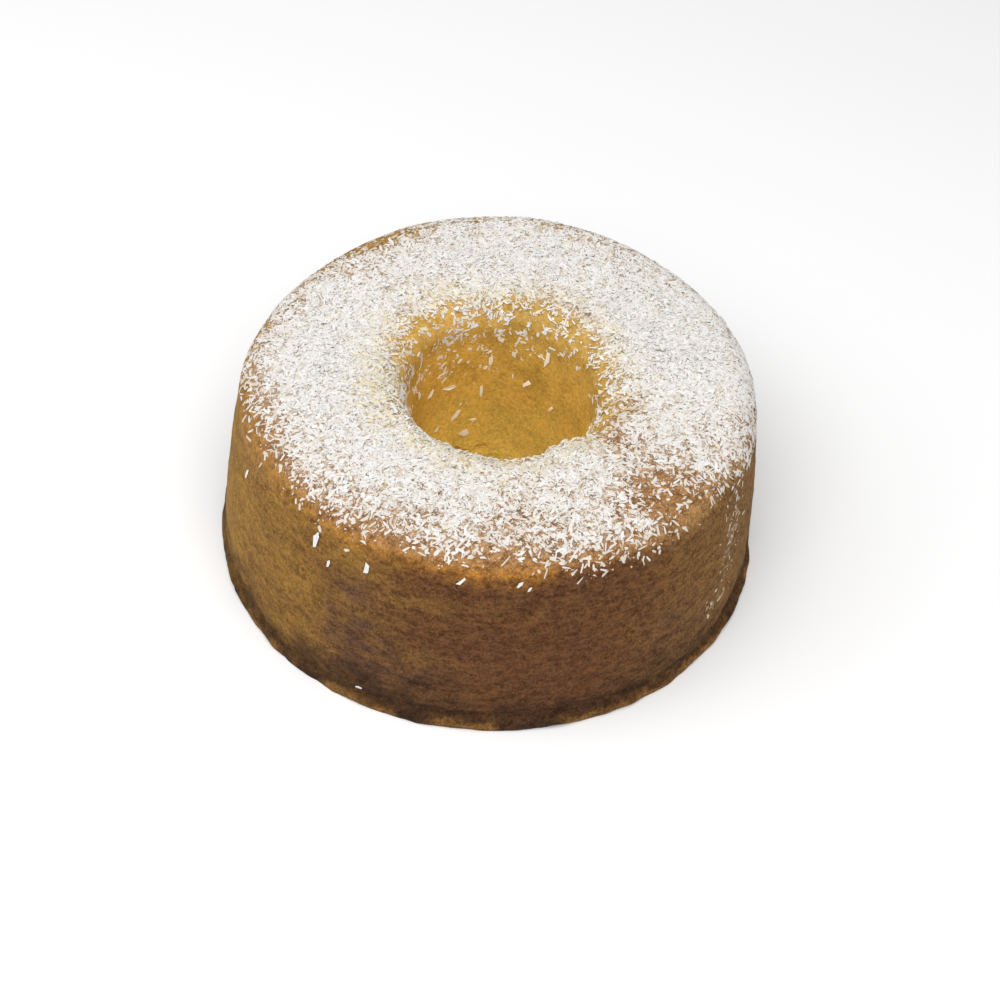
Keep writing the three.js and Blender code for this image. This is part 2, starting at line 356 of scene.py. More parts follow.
def side_spot(degrees, level, spread_round, spread_up):
    """1 in the middle of a soft spot on the side and 0 well away from it."""
    aside = (angle - math.radians(degrees)) * SHOULDER_RADIUS / spread_round
    return np.exp(-(aside**2) - ((z - level) / spread_up) ** 2) * (from_axis > SHOULDER_RADIUS - RIM_ROUND)


rubbed_off = sum(thick * side_spot(*spot) for *spot, thick in RUBS)
stuck = np.maximum(stuck, rubbed_off)
rub_dust = RUB_DUST * rubbed_off * ramp(crumb(crust, 3, 20.0), -0.2, 0.5)
dusted = np.maximum(strewn, rub_dust + WALL_DUST * stuck)
stained = sum(strength * side_spot(*spot) for *spot, strength in STAINS)
stained *= 0.6 + 0.8 * ramp(crumb(crust, (9, 9, 5), 16.0), -0.5, 0.5)
past_moist = along_section[:, None] - rim_start - by_angle(MOIST_END, angle)
moist = 1 - ramp(past_moist + 3 * crumb(crust, 3, 12.0) + 4 * crumb(crust, 12, 13.0), *MOIST_FADE)


def keep_on(piece, name, values):
    """Keeps one number for each point of a piece, for its material to read."""
    kept = piece.data.attributes.new(name, "FLOAT", "POINT")
    kept.data.foreach_set("value", values.astype(np.float32).ravel())


for name, values in (("dusted", dusted), ("moist", moist), ("stained", stained)):
    keep_on(sponge, name, values)
    print(name, "from", round(float(values.min()), 2), "to", round(float(values.max()), 2))

# %% [markdown]
# ## Arithmetic for materials
# A material's pattern is a sum of simple fields: how high a spot is, how far from the axis, how grainy.
# Wiring each sum by hand hides the thought, so one small class wraps a socket and lets plain Python
# expressions add the nodes. Colours go through Mix nodes, because a Math node would turn them grey.


# %% A socket that does sums
class Field:
    """A socket of a material's node tree; sums with it add nodes to the tree."""

    def __init__(self, tree, socket=None):
        self.tree = tree
        self.socket = socket

    def node(self, kind, settings=None, sockets=None, out=0):
        """Adds a node: its settings first, then the values or links of its sockets."""
        made = self.tree.nodes.new(kind)
        for name, value in (settings or {}).items():
            setattr(made, name, value)
        for name, value in (sockets or {}).items():
            if isinstance(value, Field):
                self.tree.links.new(value.socket, made.inputs[name])
            else:
                made.inputs[name].default_value = value
        return Field(self.tree, made.outputs[out])

    def sum(self, operation, first, second=0.0):
        return self.node("ShaderNodeMath", {"operation": operation}, {0: first, 1: second})

    def __add__(self, other):
        return self.sum("ADD", self, other)

    __radd__ = __add__

    def __sub__(self, other):
        return self.sum("SUBTRACT", self, other)

    def __rsub__(self, other):
        return self.sum("SUBTRACT", other, self)

    def __mul__(self, other):
        return self.sum("MULTIPLY", self, other)

    __rmul__ = __mul__

    def __pow__(self, other):
        return self.sum("POWER", self, other)

    def between(self, low, high):
        """0 up to low, 1 from high on, and a smooth climb between them. low may be the higher number."""
        limits = {"Value": self, "From Min": low, "From Max": high}
        return self.node("ShaderNodeMapRange", {"interpolation_type": "SMOOTHSTEP"}, limits)

    def mix(self, under, over, blend="MIX"):
        """A colour: under where this field is 0 and over where it is 1."""
        settings = {"data_type": "RGBA", "blend_type": blend}
        return self.node("ShaderNodeMix", settings, {0: self, 6: colour(under), 7: colour(over)}, 2)

    def times(self, *factors):
        """A colour or a place with each of its three parts multiplied by its own number."""
        return self.node("ShaderNodeVectorMath", {"operation": "MULTIPLY"}, {0: self, 1: factors})

    def kept(self, name):
        """The number that the mesh keeps under that name for each point."""
        return self.node("ShaderNodeAttribute", {"attribute_name": name}, None, 2)

    def part(self, axis):
        return self.node("ShaderNodeSeparateXYZ", None, {0: self}, axis)

    def grain(self, size, detail=2.0, roughness=0.5):
        """Soft noise, about 0.5, with lumps of that size in mm."""
        sockets = {"Vector": self, "Scale": 1 / (size * MM), "Detail": detail, "Roughness": roughness}
        return self.node("ShaderNodeTexNoise", None, sockets)


def colour(value):
    return value if isinstance(value, Field) else (*value, 1.0)


def new_finish(name, **uniform):
    """A material, its shader with the values that are the same all over, and a first field to sum from."""
    material = bpy.data.materials.new(name)
    material.use_nodes = True
    shader = material.node_tree.nodes["Principled BSDF"]
    for socket, value in uniform.items():
        shader.inputs[socket.replace("_", " ")].default_value = value
    return material, shader, Field(material.node_tree)


def feed(field, shader, socket):
    field.tree.links.new(field.socket, shader.inputs[socket])


print("fields can be added, multiplied, ramped and mixed")

# %% [markdown]
# ## Baked crust
# Heat browns a sponge from outside. The side that lay against the tin is brown at the front and paler and
# yellower on the left, and stained in patches. It is darkest near the foot, partly from its own browning and
# partly from painted shade, as if a dark tray round the foot kept light off it. The rounded rim is golden and
# a little moist, and the wall of the hole, shaded by the tube, stays golden yellow; its far left wall is
# painted lighter, a painted light where the lamps leave it in shade. Under the layer the crust is dusted with
# the finest coconut. The colours are mixed by place, then broken up by wrinkles and specks of several sizes,
# because a crust with one even colour looks like plastic. The brightest specks are painted highlights of
# crumbs catching the light.

# %% Colours of the crust
SIDE_BROWN = (0.111, 0.0449, 0.0166)
SIDE_GOLD = (0.291, 0.155, 0.0292)
# the foot: partly its own browning, partly painted shade as if a dark tray round the foot kept light off it
FOOT_BROWN_AND_SHADE = (0.0442, 0.0202, 0.0091)
FOOT_CRUMB = (0.195, 0.0936, 0.0247)
RIM_GOLD = (0.415, 0.178, 0.0245)
TOP_CRUST = (0.280, 0.140, 0.0520)
DUST = (0.480, 0.395, 0.305)
THICK_DUST = (0.580, 0.515, 0.450)
LIP_GOLD = (0.468, 0.279, 0.0640)
SIDE_TAN = (0.190, 0.0949, 0.0260)
SIDE_PLUM = (0.0988, 0.0468, 0.0247)
RIM_BACK = (0.299, 0.169, 0.0429)
RIM_TAN = (0.362, 0.208, 0.0830)
RIM_AMBER = (0.298, 0.144, 0.0325)
HOLE_GOLD = (0.588, 0.350, 0.0644)
HOLE_TORN = (0.381, 0.180, 0.0245)
HOLE_YELLOW = (0.769, 0.551, 0.104)
print("the side goes from", FOOT_BROWN_AND_SHADE, "at the foot to", SIDE_GOLD, "on the left")

# %% Places and patterns on the crust
crust_finish, crust_shader, field = new_finish(
    "baked_crust", Subsurface_Weight=0.08, Subsurface_Scale=0.003, Subsurface_Radius=(1.0, 0.45, 0.15),
    Specular_IOR_Level=0.12, Coat_Roughness=0.35)
place = field.node("ShaderNodeTexCoord", None, None, 3)
across, ahead, upward = (place.part(axis) * (1 / MM) for axis in range(3))
from_middle = (across**2 + ahead**2) ** 0.5
broad = place.grain(34, 3)
blotch = place.grain(9, 3)
band = place.times(1, 1, 2.5).grain(24, 3, 0.6)
streak = place.times(1, 1, 2.2).grain(5, 3, 0.55)
speck = place.grain(1.4, 2, 0.6)
fine = place.grain(0.65, 1, 0.5)
stain = place.times(1, 1, 1.4).grain(19, 2, 0.6)
to_right, to_back = across + blotch * 30, ahead + blotch * 40
stained, on_rim, layer = (field.kept(name) for name in ("stained", "moist", "dusted"))
print("places and patterns:", len(crust_finish.node_tree.nodes), "nodes")

# %% Colour of the side
# Tan on the right, golden on the left, then plum and golden stains, and darkest at the foot, partly from
# painted shade, with torn crumb.
pale = (across * -0.75 + ahead * -0.2 + broad * 50 + band * 80).between(84, 172)
side_colour = to_right.between(55, 120).mix(SIDE_BROWN, SIDE_TAN)
side_colour = pale.mix(side_colour, SIDE_GOLD)
side_colour = (stain.between(0.50, 0.66) * 0.25).mix(side_colour, SIDE_PLUM)
side_colour = stained.between(0, 1).mix(side_colour, SIDE_PLUM)
side_colour = stained.between(0, -1).mix(side_colour, SIDE_GOLD)
# painted shade: darker towards the foot, partly own browning, partly shade as if a dark tray kept light off
# it
foot_browning_and_shade = (upward + blotch * 20 + band * 20 - stained * 14).between(44, 18)
side_colour = foot_browning_and_shade.mix(side_colour, FOOT_BROWN_AND_SHADE)
torn_foot = (upward + blotch * 8).between(9.5, 5.5) * broad.between(0.44, 0.56)
side_colour = torn_foot.mix(side_colour, FOOT_CRUMB)
print("with the side:", len(crust_finish.node_tree.nodes), "nodes")

# %% Colour of the rim and the top
# The moist band is golden in front, tan on the right, amber on the left and duller at the back.
rim_colour = to_right.between(40, 95).mix(RIM_GOLD, RIM_TAN)
rim_colour = to_right.between(-15, -60).mix(rim_colour, RIM_AMBER)
rim_colour = to_back.between(20, 90).mix(rim_colour, RIM_BACK)
outer_colour = on_rim.mix(side_colour, rim_colour)
on_top = upward.between(HEIGHT - 5, HEIGHT - 1)
outer_colour = on_top.mix(outer_colour, to_back.between(40, 100).mix(TOP_CRUST, RIM_BACK))
print("with the rim and the top:", len(crust_finish.node_tree.nodes), "nodes")

# %% Colour of the hole
# Yellow low down, golden near the lip, torn on the left of its foot, and painted lighter on the far left
# wall.
hole_colour = (upward + blotch * 60 + broad * 30).between(95, 40).mix(HOLE_GOLD, HOLE_YELLOW)
hole_colour = (upward + blotch * 24).between(68, 96).mix(hole_colour, LIP_GOLD)
torn = place.times(1, 1, 2).grain(8, 2).between(0.46, 0.62) * across.between(6, -8)
hole_colour = (torn * (upward + blotch * 14).between(26, 14)).mix(hole_colour, HOLE_TORN)
# painted light: a lighter copy of the hole's colour on the far left wall, which the lamps leave in shade
hole_colour = (ahead - across).between(30, 58).mix(hole_colour, hole_colour.times(1.22, 1.18, 1.14))
inside = from_middle.between(54, 44)
crust_colour = inside.mix(outer_colour, hole_colour)
print("with the hole:", len(crust_finish.node_tree.nodes), "nodes")

# %% Dust, grain and gloss
# Dust covers the crust under the layer, wrinkles and specks vary its tone, small bright specks are painted
# highlights of crumbs catching the light, and the moist band has a sheen.
dust = layer.between(0.02, 0.9)
dust_colour = layer.between(0.5, 1.3).mix(DUST, THICK_DUST)
crust_colour = (dust * (speck.between(0.35, 0.65) * 0.45 + 0.5)).mix(crust_colour, dust_colour)
wrinkled = streak * (1 - inside) + blotch * inside
tone = (wrinkled * 0.4 + speck * 0.38 + fine * 0.22).between(0.28, 0.70)
tone = (tone - 0.5) * (1.55 - inside * 0.8 - pale * (1 - inside) * 0.65) + 0.5
crust_colour = tone.mix(crust_colour.times(0.52, 0.47, 0.44), crust_colour.times(1.50, 1.56, 1.60))
# painted highlight: the brightest fine specks of the side, as crumbs catching the light
painted_glint = fine.between(0.60, 0.74) * (1 - inside) * 0.5
crust_colour = painted_glint.mix(crust_colour, crust_colour.times(1.7, 1.75, 1.9))
feed(crust_colour, crust_shader, "Base Color")
feed(0.78 - on_rim * 0.1 - inside * 0.12 + streak * 0.1, crust_shader, "Roughness")
feed(on_rim * (1 - on_top) * 0.12, crust_shader, "Coat Weight")
crust_height = (wrinkled * 0.45 + speck * 0.4 + fine * 0.2) * (1 - inside * 0.45)
bumps = field.node("ShaderNodeBump", None, {"Strength": 0.7, "Distance": 0.0014, "Height": crust_height})
feed(bumps, crust_shader, "Normal")
sponge.data.materials.append(crust_finish)
print("crust:", len(crust_finish.node_tree.nodes), "nodes")

# %% [markdown]
# ## Letting it fall
# Shreds of coconut lie across each other, so the layer is ragged and full of small shadows. A physics run
# with tens of thousands of shreds is slow. Here each shred falls on a height map of the crust instead: it
# comes to rest on the highest spots under its two halves, takes their slope, and raises the map for the next.
# Four kinds fall mixed together: long shreds, broad chips, small grains and dust. A few single chips on the
# walls are put in their places by a table, and pieces on the lip of the hole lie tousled.

# %% Kinds of coconut and single flakes
KINDS = {  # how many, and the least and most length, width and thickness in mm
    "coconut_shreds": (11000, (2.2, 4.8), (0.55, 1.1), (0.12, 0.25)),
    "coconut_chips": (10000, (1.4, 3.5), (0.7, 1.6), (0.1, 0.2)),
    "coconut_grains": (22000, (0.8, 1.8), (0.4, 0.85), (0.1, 0.2)),
    "coconut_dust": (32000, (0.35, 0.8), (0.3, 0.6), (0.06, 0.12)),
}
STICKS_TO_WALL = {"coconut_shreds": 0.2, "coconut_chips": 0.7, "coconut_grains": 0.5, "coconut_dust": 0.3}
EVENNESS = {"coconut_shreds": 0.9, "coconut_chips": 0.9, "coconut_grains": 1.0, "coconut_dust": 1.0}
STRAYS = [  # single flakes on the walls: angle, height, turn off the slope in degrees, length and width
    (59, 65, 8, 7.2, 2.5), (97, 57, 5, 5.0, 1.8), (125, 46, 95, 6.5, 2.5), (142, 49, 60, 5.0, 1.7),
    (157, 56, 15, 4.3, 1.7), (102, 41, 0, 6.5, 1.4), (120, 30, 40, 6.5, 2.0), (113, 19, 80, 4.6, 3.6),
    (71, 48, 45, 4.8, 2.1), (107, 26, 90, 3.1, 1.3), (49, 42, 30, 3.1, 1.3), (136, 27, 70, 3.4, 1.7),
    (-128, 71, 10, 7.8, 2.8), (-124, 64, 15, 4.2, 1.4), (-115, 71, 5, 5.0, 2.0), (-155, 64, 12, 4.8, 1.2),
    (-114, 9, 80, 3.1, 1.3), (-95, 76, 40, 4.0, 1.2), (-83, 76, 50, 3.0, 1.1), (-81, 74, 35, 2.6, 1.0),
]
print(sum(count for count, *limits in KINDS.values()), "pieces,", len(STRAYS), "of them put in their places")

# %% Choose a place for each piece
SEED = 11
MIXED = 6  # the larger this is, the more the kinds fall mixed together
SIZE_POWERS = (1.6, 1.3, 1.0)  # above 1, more pieces are small than large
CELL, PILE_COLUMNS = 0.4, 1600  # mm along the section, and columns round the ring, of the height map
END_CLEARANCE = 3  # mm kept free at both ends of the section


def on_crust(s, a, grid):
    """Values of a grid at places given by mm along the section and angle round the ring."""
    row = np.interp(s, along_section, np.arange(len(section)))
    column = (np.asarray(a) + math.pi) / (2 * math.pi) * COLUMNS
    r0 = np.clip(row.astype(int), 0, len(section) - 2)
    c0 = np.floor(column).astype(int)
    fr, fc = (row - r0)[..., None], (column - c0)[..., None]
    c0, c1 = c0 % COLUMNS, (c0 + 1) % COLUMNS
    near = grid[r0, c0] * (1 - fc) + grid[r0, c1] * fc
    far = grid[r0 + 1, c0] * (1 - fc) + grid[r0 + 1, c1] * fc
    return near * (1 - fr) + far * fr


cell_s, cell_a = (grid.ravel() for grid in np.meshgrid(
    np.arange(0, along_section[-1], 2 * CELL),
    np.linspace(-math.pi, math.pi, PILE_COLUMNS // 4, endpoint=False), indexing="ij"))
cell_values = on_crust(cell_s, cell_a, np.stack([strewn, stuck, from_axis], axis=-1))
cell_strewn, cell_stuck, cell_radius = cell_values.T
rng = np.random.default_rng(SEED)
kind_number = np.repeat(np.arange(len(KINDS)), [KINDS[kind][0] for kind in KINDS])
kind_number = kind_number[np.argsort(kind_number + MIXED * rng.random(len(kind_number)))]
flakes = len(kind_number)
sizes = np.empty((flakes, 3))
for number, (count, *limits) in enumerate(KINDS.values()):
    share = rng.random((count, 3)) ** SIZE_POWERS
    least, most = np.array(limits).T
    sizes[kind_number == number] = least + share * (most - least)
cells = np.empty(flakes, int)
for number, kind in enumerate(KINDS):
    chance = (cell_strewn ** EVENNESS[kind] + STICKS_TO_WALL[kind] * cell_stuck) * cell_radius
    falling = kind_number == number
    cells[falling] = rng.choice(len(chance), falling.sum(), p=chance / chance.sum())
flake_s = cell_s[cells] + rng.uniform(-CELL, CELL, flakes)
flake_s = np.clip(flake_s, END_CLEARANCE, along_section[-1] - END_CLEARANCE)
flake_a = cell_a[cells] + rng.uniform(-4, 4, flakes) * math.pi / PILE_COLUMNS
flake_turn = rng.uniform(0, 2 * math.pi, flakes)
print("mean length, width and thickness, mm:", [round(float(value), 2) for value in sizes.mean(axis=0)])

# %% Put single flakes in their places and turn up the lip
HOLE_STRAY, SIDE_STRAY = 0, 0.5  # how damp single flakes get, where 1 is usual in the layer
LIP_EDGE, LIP_SPREAD, LIP_RISE = 43, 3, 0.8  # mm from the axis, mm to either side, and how far pieces turn up
top_row = int(section[:, 1].argmax())
single = np.flatnonzero(kind_number == list(KINDS).index("coconut_chips"))[:len(STRAYS)]
for i, (degrees, level, turn, length, width) in zip(single, STRAYS):
    rows = slice(None, top_row) if degrees > 0 else slice(None, top_row, -1)
    flake_s[i] = np.interp(level, section[rows, 1], along_section[rows])
    flake_a[i], flake_turn[i] = math.radians(degrees), math.radians(turn)
    sizes[i, :2] = length, width
among_others = np.ones(flakes)
among_others[single] = [HOLE_STRAY if stray[0] > 0 else SIDE_STRAY for stray in STRAYS]
flake_place = on_crust(flake_s, flake_a, crust)
flake_normal = on_crust(flake_s, flake_a, crust_normal)
flake_radius = np.hypot(flake_place[:, 0], flake_place[:, 1])
on_edge = np.exp(-(((flake_radius - LIP_EDGE) / LIP_SPREAD) ** 2)) * (flake_place[:, 2] > HEIGHT - LIP_DEPTH)
flake_normal[:, 2] += LIP_RISE * on_edge
flake_normal /= np.linalg.norm(flake_normal, axis=1, keepdims=True)
print("share of pieces on the top:", round(float((flake_normal[:, 2] > 0.8).mean()), 2))

# %% Let the pieces fall
SPOTS = np.linspace(-0.5, 0.5, 7)[:, None]  # where a piece feels for the pile: along it and across it
ACROSS = np.array([[-0.35, 0.0, 0.35]])
STEEPEST_PITCH = 0.14
PACKING = 0.1  # share of its thickness by which a piece raises the pile
SINGLE_LIFT = 0.35  # mm, so that no lump of crust pokes through a single flake
LIP_TOUSLE, LIP_TILT = 0.5, 0.3
lift, pitch = np.zeros(flakes), np.zeros(flakes)
pile = np.zeros((int(along_section[-1] / CELL) + 2, PILE_COLUMNS))
cos_turn, sin_turn = np.cos(flake_turn), np.sin(flake_turn)
for i in range(flakes):
    length, width, thickness = sizes[i]
    u, v = SPOTS * length, ACROSS * width
    rows = ((flake_s[i] + u * cos_turn[i] - v * sin_turn[i]) / CELL).astype(int)
    turn = flake_a[i] + (u * sin_turn[i] + v * cos_turn[i]) / flake_radius[i]
    columns = ((turn + math.pi) / (2 * math.pi) * PILE_COLUMNS).astype(int) % PILE_COLUMNS
    rows = np.clip(rows, 0, len(pile) - 1)
    under = pile[rows, columns].max(axis=1)
    left, right = u[:3], u[4:].T
    rest = (under[:3, None] * right - under[None, 4:] * left) / (right - left)
    first, last = divmod(int(rest.argmax()), 3)
    slope = (under[4 + last] - under[first]) / (u[4 + last, 0] - u[first, 0])
    slope = min(max(slope, -STEEPEST_PITCH), STEEPEST_PITCH)
    lift[i] = max(rest[first, last], under[3])
    pitch[i] = math.atan(slope)
    top = lift[i] + slope * u + PACKING * thickness
    pile[rows, columns] = np.maximum(pile[rows, columns], top)
lift[single] += SINGLE_LIFT
lift += on_edge * np.abs(rng.normal(0, LIP_TOUSLE, flakes))
pitch += on_edge * rng.normal(0, LIP_TILT, flakes)
print(flakes, "pieces of coconut in a layer up to", round(pile.max(), 2), "mm thick")

# %% [markdown]
# ## Shreds, chips and grains
# Coconut is grated into thin curled slivers with pointed ends; some break into flat chips, and the smallest
# are just grains and dust. Real pieces at true size catch light and cast tiny shadows as a texture can't.
# Instances would be lighter to store, but the model is to be used elsewhere, so each kind is one joined mesh
# built from arrays. Faces stay flat, because smooth shading would round thin plates off like pillows. Each
# piece carries two numbers for the material: how creamy it is, with values below 0 for painted light on
# pieces on the wall of the hole, and how damp.

# %% One piece of each kind
SLIVER = [(-0.5, -0.5), (0.5, -0.5), (0.4, 0.5), (-0.4, 0.5)]  # corners across and through a shred
CHIP = [(0.5, -0.1), (0.3, 0.42), (-0.35, 0.5), (-0.5, -0.2), (0.05, -0.5)]  # corners along and across a chip
GRAIN = [(0.5, -0.1), (-0.4, 0.5), (-0.3, -0.5)]


def ring(u, corners):
    return [(u, v, w) for v, w in corners]


def tube(first, last, count):
    """Triangles between two rings of corners, given the number of each ring's first corner."""
    quads = [(first + k, first + (k + 1) % count, last + (k + 1) % count, last + k) for k in range(count)]
    return [face for a, b, c, d in quads for face in ((a, b, c), (a, c, d))]


def tip(point, first, count, ahead):
    """Triangles from a point to a ring of corners. The point lies ahead of the ring or behind it."""
    pairs = [(first + k, first + (k + 1) % count) for k in range(count)]
    return [(point, a, b) if ahead else (point, b, a) for a, b in pairs]


def plate(outline):
    """Corners and triangles of a flat piece with that outline above and below."""
    count = len(outline)
    fan = [(0, k, k + 1) for k in range(1, count - 1)]
    above = [(count + a, count + b, count + c) for a, b, c in fan]
    below = [(a, c, b) for a, b, c in fan]
    return [(u, v, w) for w in (-0.5, 0.5) for u, v in outline], above + below + tube(0, count, count)


BLANKS = {  # corners and triangles of one piece, 1 long, 1 wide and 1 thick
    "coconut_shreds": (
        [(-0.5, 0, 0), (0.5, 0, 0), *ring(-0.3, SLIVER), *ring(0.3, SLIVER)],
        tip(0, 2, 4, False) + tube(2, 6, 4) + tip(1, 6, 4, True),
    ),
    "coconut_chips": plate(CHIP),
    "coconut_grains": plate(GRAIN),
    "coconut_dust": (
        [(0.1, 0, 0.5), (-0.5, -0.4, -0.3), (0.5, -0.3, -0.3), (0, 0.5, -0.3)],
        [(0, 1, 2), (0, 2, 3), (0, 3, 1), (1, 3, 2)],
    ),
}
print({kind: f"{len(triangles)} triangles" for kind, (corners, triangles) in BLANKS.items()})

# %% Form and lay a piece
CURL, SIDE_BEND, NARROWING, JITTER, ROLL = 0.035, 0.07, 0.4, 0.12, 0.1
BOW_MIDDLE = 0.4  # share of a bow by which the middle moves; the ends move the rest the other way


def formed(chosen, corners):
    """Corners in mm of each chosen piece, no two alike, lengthwise along the first axis."""
    shape = np.array(corners)[None] + rng.normal(0, JITTER, (len(chosen), len(corners), 3)) * (0.5, 1, 1)
    lengthwise = shape[..., 0]
    shape[..., 1] *= 1 - NARROWING * rng.random((len(chosen), 1)) * (lengthwise + 0.5)
    local = shape * sizes[chosen][:, None, :]
    bow = (4 * lengthwise**2 - BOW_MIDDLE) * sizes[chosen][:, :1]
    local[..., 2] += bow * rng.normal(0, CURL, (len(chosen), 1))
    local[..., 1] += bow * rng.normal(0, SIDE_BEND, (len(chosen), 1))
    return local


def laid_axes(chosen):
    """The directions along, across and through each chosen piece, as it lies."""
    normal = flake_normal[chosen]
    round_ring = np.column_stack([-np.sin(flake_a[chosen]), np.cos(flake_a[chosen]), np.zeros(len(normal))])
    round_ring -= normal * (normal * round_ring).sum(axis=1, keepdims=True)
    round_ring /= np.linalg.norm(round_ring, axis=1, keepdims=True)
    down_section = np.cross(normal, round_ring)
    cos_t, sin_t = np.cos(flake_turn[chosen])[:, None], np.sin(flake_turn[chosen])[:, None]
    along = down_section * cos_t + round_ring * sin_t
    across = round_ring * cos_t - down_section * sin_t
    cos_p, sin_p = np.cos(pitch[chosen])[:, None], np.sin(pitch[chosen])[:, None]
    along, through = along * cos_p + normal * sin_p, normal * cos_p - along * sin_p
    tip_over = rng.normal(0, ROLL, (len(normal), 1))
    across, through = (across * np.cos(tip_over) + through * np.sin(tip_over),
                       through * np.cos(tip_over) - across * np.sin(tip_over))
    return np.stack([along, across, through], axis=1)


print("lengths to form, mm:", round(sizes[:, 0].min(), 2), "to", round(sizes[:, 0].max(), 2))

# %% How creamy and how damp a piece is
NEAR_HOLE, NEAR_HOLE_RAGGED = (45, 66), 8  # mm from the axis where the hole's moisture fades out raggedly
WALL_TILT = (0.3, 0.8)  # upward part of the normal, on a wall and on the top
WALL_RADIUS = 60  # mm; walls within this belong to the hole
# painted light on pieces on the wall of the hole is strongest low down and fades between the first pair of
# heights
PAINTED_LIGHT_HEIGHTS, RUB_HEIGHTS = (60, 80), (60, 72)  # mm; bright and rubbed pieces fade out between these
# how much painted light such pieces get, and the share of it that fades out higher up
PAINTED_LIGHT, PAINTED_LIGHT_FADE = 0.5, 0.5
USUAL_CREAM, CREAM_SPREAD, MOST_CREAM = 0.25, 0.18, 0.85
HOLE_SOAK, RUB_SOAK, RUB_DAMP = 0.75, 0.6, 0.5
TOUCHING = (0.01, 0.12)  # mm above the crust
# pieces on the wall of the hole are kept less damp, which also paints them lighter in the hole's shade
CHANCE_DAMP, WALL_DRYNESS_AND_LIGHT = 0.5, 0.7


def cream_painted_light_and_damp(chosen):
    """How creamy each chosen piece is, below 0 where it gets painted light, and how damp."""
    count = len(chosen)
    level = flake_place[chosen][:, 2]
    ragged_radius = flake_radius[chosen] - NEAR_HOLE_RAGGED * crumb(flake_place[chosen], 9, 3.0)
    near_hole = 1 - ramp(ragged_radius, *NEAR_HOLE)
    upright = 1 - ramp(flake_normal[chosen][:, 2], *WALL_TILT)
    on_wall = upright * (flake_radius[chosen] < WALL_RADIUS)
    # painted light: the share of painted light on each piece on the wall of the hole, largest low down
    painted_light_share = on_wall * (1 - PAINTED_LIGHT_FADE * ramp(level, *PAINTED_LIGHT_HEIGHTS))
    rubbed = (upright - on_wall) * (1 - ramp(level, *RUB_HEIGHTS)) * among_others[chosen]
    soaked = HOLE_SOAK * near_hole * rng.random(count) + RUB_SOAK * rubbed
    cream_and_painted_light = np.clip(rng.normal(USUAL_CREAM, CREAM_SPREAD, count) + soaked, 0, MOST_CREAM)
    # pieces with painted light are marked by values below 0
    cream_and_painted_light = cream_and_painted_light * (1 - painted_light_share) - PAINTED_LIGHT * painted_light_share
    damp = (1 - ramp(lift[chosen], *TOUCHING)) * rng.random(count) ** 0.4
    damp = np.maximum(damp, CHANCE_DAMP * rng.random(count) ** 1.5) + RUB_DAMP * rubbed
    damp *= among_others[chosen] * (1 - WALL_DRYNESS_AND_LIGHT * on_wall)
    return cream_and_painted_light, damp


print("pieces that touch the crust:", int((lift < TOUCHING[0]).sum()))

# %% Build the coconut
HIGHEST = solid_box[1].z / MM
coconut = []
for number, (kind, (corners, triangles)) in enumerate(BLANKS.items()):
    chosen = np.flatnonzero(kind_number == number)
    local = formed(chosen, corners)
    middle = flake_place[chosen] + flake_normal[chosen] * (lift[chosen] + 0.5 * sizes[chosen, 2])[:, None]
    placed = middle[:, None] + local @ laid_axes(chosen)
    placed[..., 2] -= np.maximum(placed[..., 2].max(axis=1, keepdims=True) - HIGHEST, 0)
    faces = np.array(triangles)[None] + len(corners) * np.arange(len(chosen))[:, None, None]
    piece = quick_mesh(kind, placed.reshape(-1, 3), faces.reshape(-1, 3))
    piece.data.shade_flat()
    for name, values in zip(("cream_and_painted_light", "damp"), cream_painted_light_and_damp(chosen)):
        keep_on(piece, name, np.repeat(values, len(corners)))
    coconut.append(piece)
    print(kind, len(chosen), "pieces,", len(faces) * len(triangles), "triangles")

# %% [markdown]
# ## Dried coconut
# Dried coconut is matt and white, and turns creamy where it has drunk moisture near the hole. Pieces that lie
# right on the crust are damp and take on some of its brown. Pieces on the wall of the hole are kept less damp
# and are painted brighter and yellower, most of all low down: painted light and a painted golden reflection
# where the hole's shade falls on them.
# Light scattered inside such thin pieces would hardly show, so plain colour does.

# %% Coconut material
COCONUT_WHITE = (0.785, 0.780, 0.772)
COCONUT_CREAM = (0.74, 0.65, 0.42)
# painted light: a brighter, yellower white for pieces on the wall of the hole, standing in for light and the
# wall's golden reflection
COCONUT_PAINTED_LIGHT = (0.95, 0.87, 0.68)
DAMP_TINT = (0.77, 0.68, 0.58)
FIBRE_TINT = (0.80, 0.76, 0.70)
coconut_finish, coconut_shader, field = new_finish("dried_coconut", Specular_IOR_Level=0.3)
place = field.node("ShaderNodeTexCoord", None, None, 3)
cream_and_painted_light, damp = field.kept("cream_and_painted_light"), field.kept("damp")
fibre = place.grain(0.7, 2)
coconut_colour = cream_and_painted_light.between(0.35, 1.0).mix(COCONUT_WHITE, COCONUT_CREAM)
# painted light and a painted golden reflection on pieces in the hole, marked by values below 0
coconut_colour = cream_and_painted_light.between(0, -0.5).mix(coconut_colour, COCONUT_PAINTED_LIGHT)
coconut_colour = damp.mix(coconut_colour, DAMP_TINT, "MULTIPLY")
coconut_colour = (fibre.between(0.55, 0.3) * 0.15).mix(coconut_colour, FIBRE_TINT, "MULTIPLY")
feed(coconut_colour, coconut_shader, "Base Color")
feed(0.5 + fibre * 0.2, coconut_shader, "Roughness")
fibres = field.node("ShaderNodeBump", None, {"Strength": 0.15, "Distance": 0.0002, "Height": fibre})
feed(fibres, coconut_shader, "Normal")
for piece in coconut:
    piece.data.materials.append(coconut_finish)
print("coconut:", len(coconut_finish.node_tree.nodes), "nodes")

# %% [markdown]
# ## Floor, light and camera
# The cake stands on a plain pale floor under soft light: a broad lamp overhead and a little in front, a
# weaker one from the left and an even white sky to fill the shadows. The camera looks down on it at 47
# degrees with a long lens, turned a little, as in the photograph.

